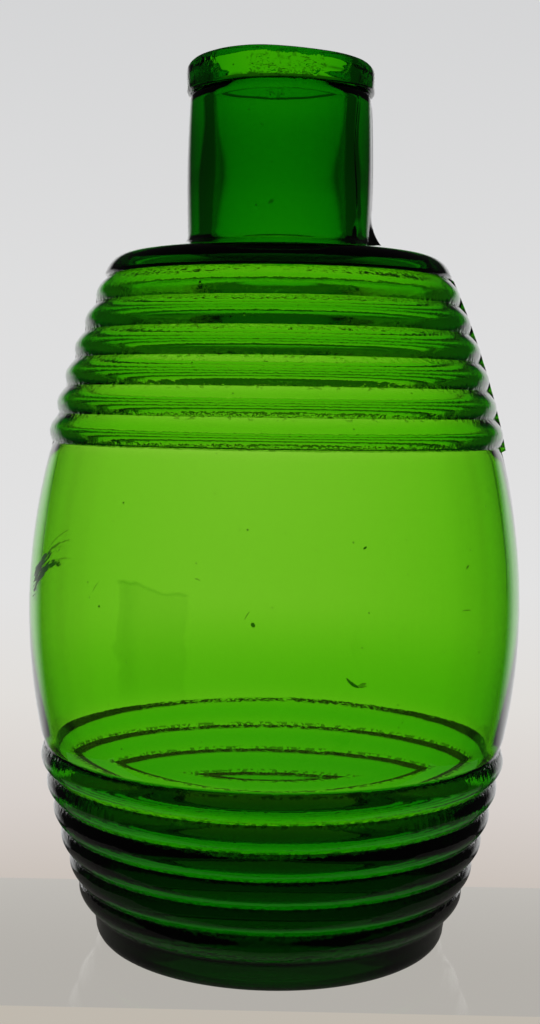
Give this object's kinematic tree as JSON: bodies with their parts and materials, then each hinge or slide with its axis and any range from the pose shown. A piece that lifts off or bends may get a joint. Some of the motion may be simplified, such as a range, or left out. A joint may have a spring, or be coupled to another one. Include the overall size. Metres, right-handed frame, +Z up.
{
  "type": "barrel-shaped glass bottle",
  "caption": "Antique mould-blown green glass bottle shaped like a hooped barrel, with a wide straight neck, an applied lip and a push-up base.",
  "frame": {"origin": "centre of the foot, on the surface that the bottle stands on", "axes": "+Z up along the bottle's axis of revolution; X and Y level, -Y towards the viewer of the picture"},
  "size_m": [0.1122, 0.1122, 0.2],
  "materials": {
    "body_glass": "clear yellow-green glass, fire polished, faintly rough in the hoop valleys, with seeds and light wear",
    "lip_glass": "clear green glass, hand tooled, slightly wavy"
  },
  "bodies": {
    "root": {"bottle_body": "body_glass", "applied_lip": "lip_glass"}
  },
  "joints": []
}
